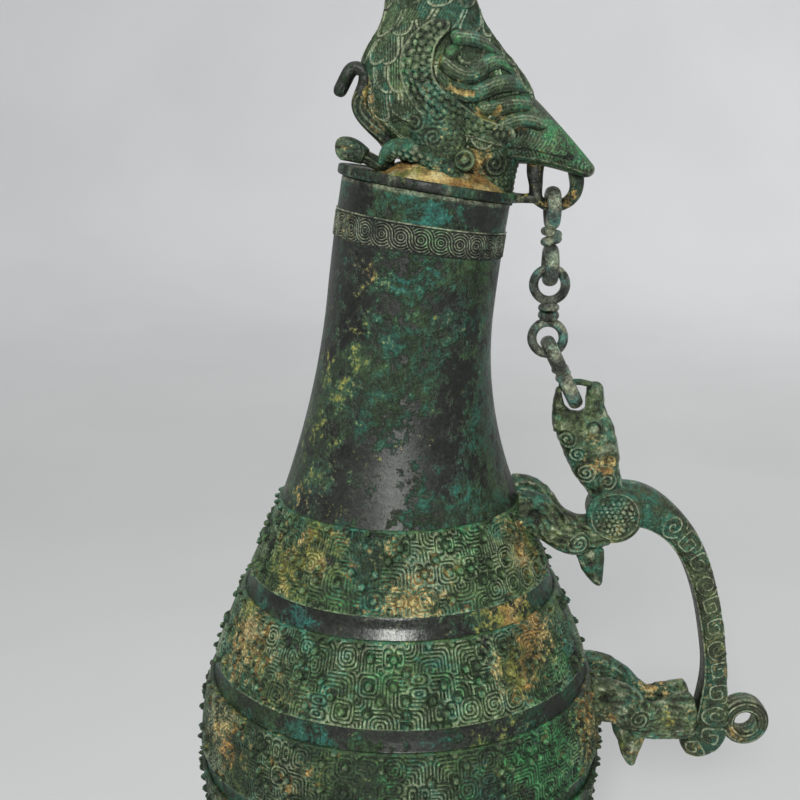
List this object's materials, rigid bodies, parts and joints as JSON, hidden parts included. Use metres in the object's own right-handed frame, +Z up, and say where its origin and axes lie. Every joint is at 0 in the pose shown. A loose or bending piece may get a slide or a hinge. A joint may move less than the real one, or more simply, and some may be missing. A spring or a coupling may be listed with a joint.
{
  "type": "lidded bronze vessel",
  "caption": "Gourd-shaped bronze wine vessel with a bent neck, relief bands, a bird-shaped lid, a beast handle and a chain that ties the lid to the handle.",
  "frame": {"origin": "centre of the ring foot's underside", "axes": "+Z up along the belly's axis; +X towards the handle; the bird and the beast face -X; left is -Y"},
  "size_m": [0.2268, 0.158, 0.4001],
  "materials": {
    "vessel_bronze": "patinated cast bronze, polished dark on the strips",
    "handle_bronze": "patinated cast bronze, teal green",
    "lid_bronze": "patinated cast bronze with earthy deposits",
    "bird_bronze": "patinated cast bronze, green with earth in the recesses",
    "chain_bronze": "dark worn bronze wire"
  },
  "bodies": {
    "vessel": {"vessel_body": "vessel_bronze", "ring_foot": "vessel_bronze", "handle_back": "handle_bronze", "beast_head": "handle_bronze", "mouth_bar": "handle_bronze", "front_leg_left": "handle_bronze", "front_leg_right": "handle_bronze", "hind_leg_left": "handle_bronze", "hind_leg_right": "handle_bronze", "tail_loop": "handle_bronze"},
    "lid": {"lid_plate": "lid_bronze", "bird_body": "bird_bronze", "bird_head": "bird_bronze", "wing_left": "bird_bronze", "wing_right": "bird_bronze", "bird_leg_left": "bird_bronze", "bird_leg_right": "bird_bronze", "snake_left": "bird_bronze", "snake_right": "bird_bronze", "tail_bracket": "bird_bronze"},
    "upper_link": {"chain_link_upper": "chain_bronze"},
    "middle_link": {"chain_link_middle": "chain_bronze"},
    "lower_link": {"chain_link_lower": "chain_bronze"}
  },
  "joints": [
    {"name": "lid_lift", "type": "slide", "parent": "vessel", "child": "lid", "axis": [0.165, 0, 0.9863], "range_m": [0, 0.0055]},
    {"name": "upper_link_swing", "type": "hinge", "parent": "lid", "child": "upper_link", "pos_m": [0.05571, 0, 0.30487], "axis": [0, -1, 0], "range_deg": [0, 4.2]},
    {"name": "middle_link_swing", "type": "hinge", "parent": "upper_link", "child": "middle_link", "pos_m": [0.05543, 0, 0.27227], "axis": [0, -1, 0], "range_deg": [0, 1.7]},
    {"name": "lower_link_swing", "type": "hinge", "parent": "middle_link", "child": "lower_link", "pos_m": [0.05523, 0, 0.24947], "axis": [0, -1, 0], "range_deg": [-17.4, 0]}
  ],
  "couplings": [
    {"joint": "upper_link_swing", "follows": "lid_lift", "rad_per_m": 12.693},
    {"joint": "middle_link_swing", "follows": "lid_lift", "rad_per_m": 4.76},
    {"joint": "lower_link_swing", "follows": "lid_lift", "rad_per_m": -54.422}
  ]
}
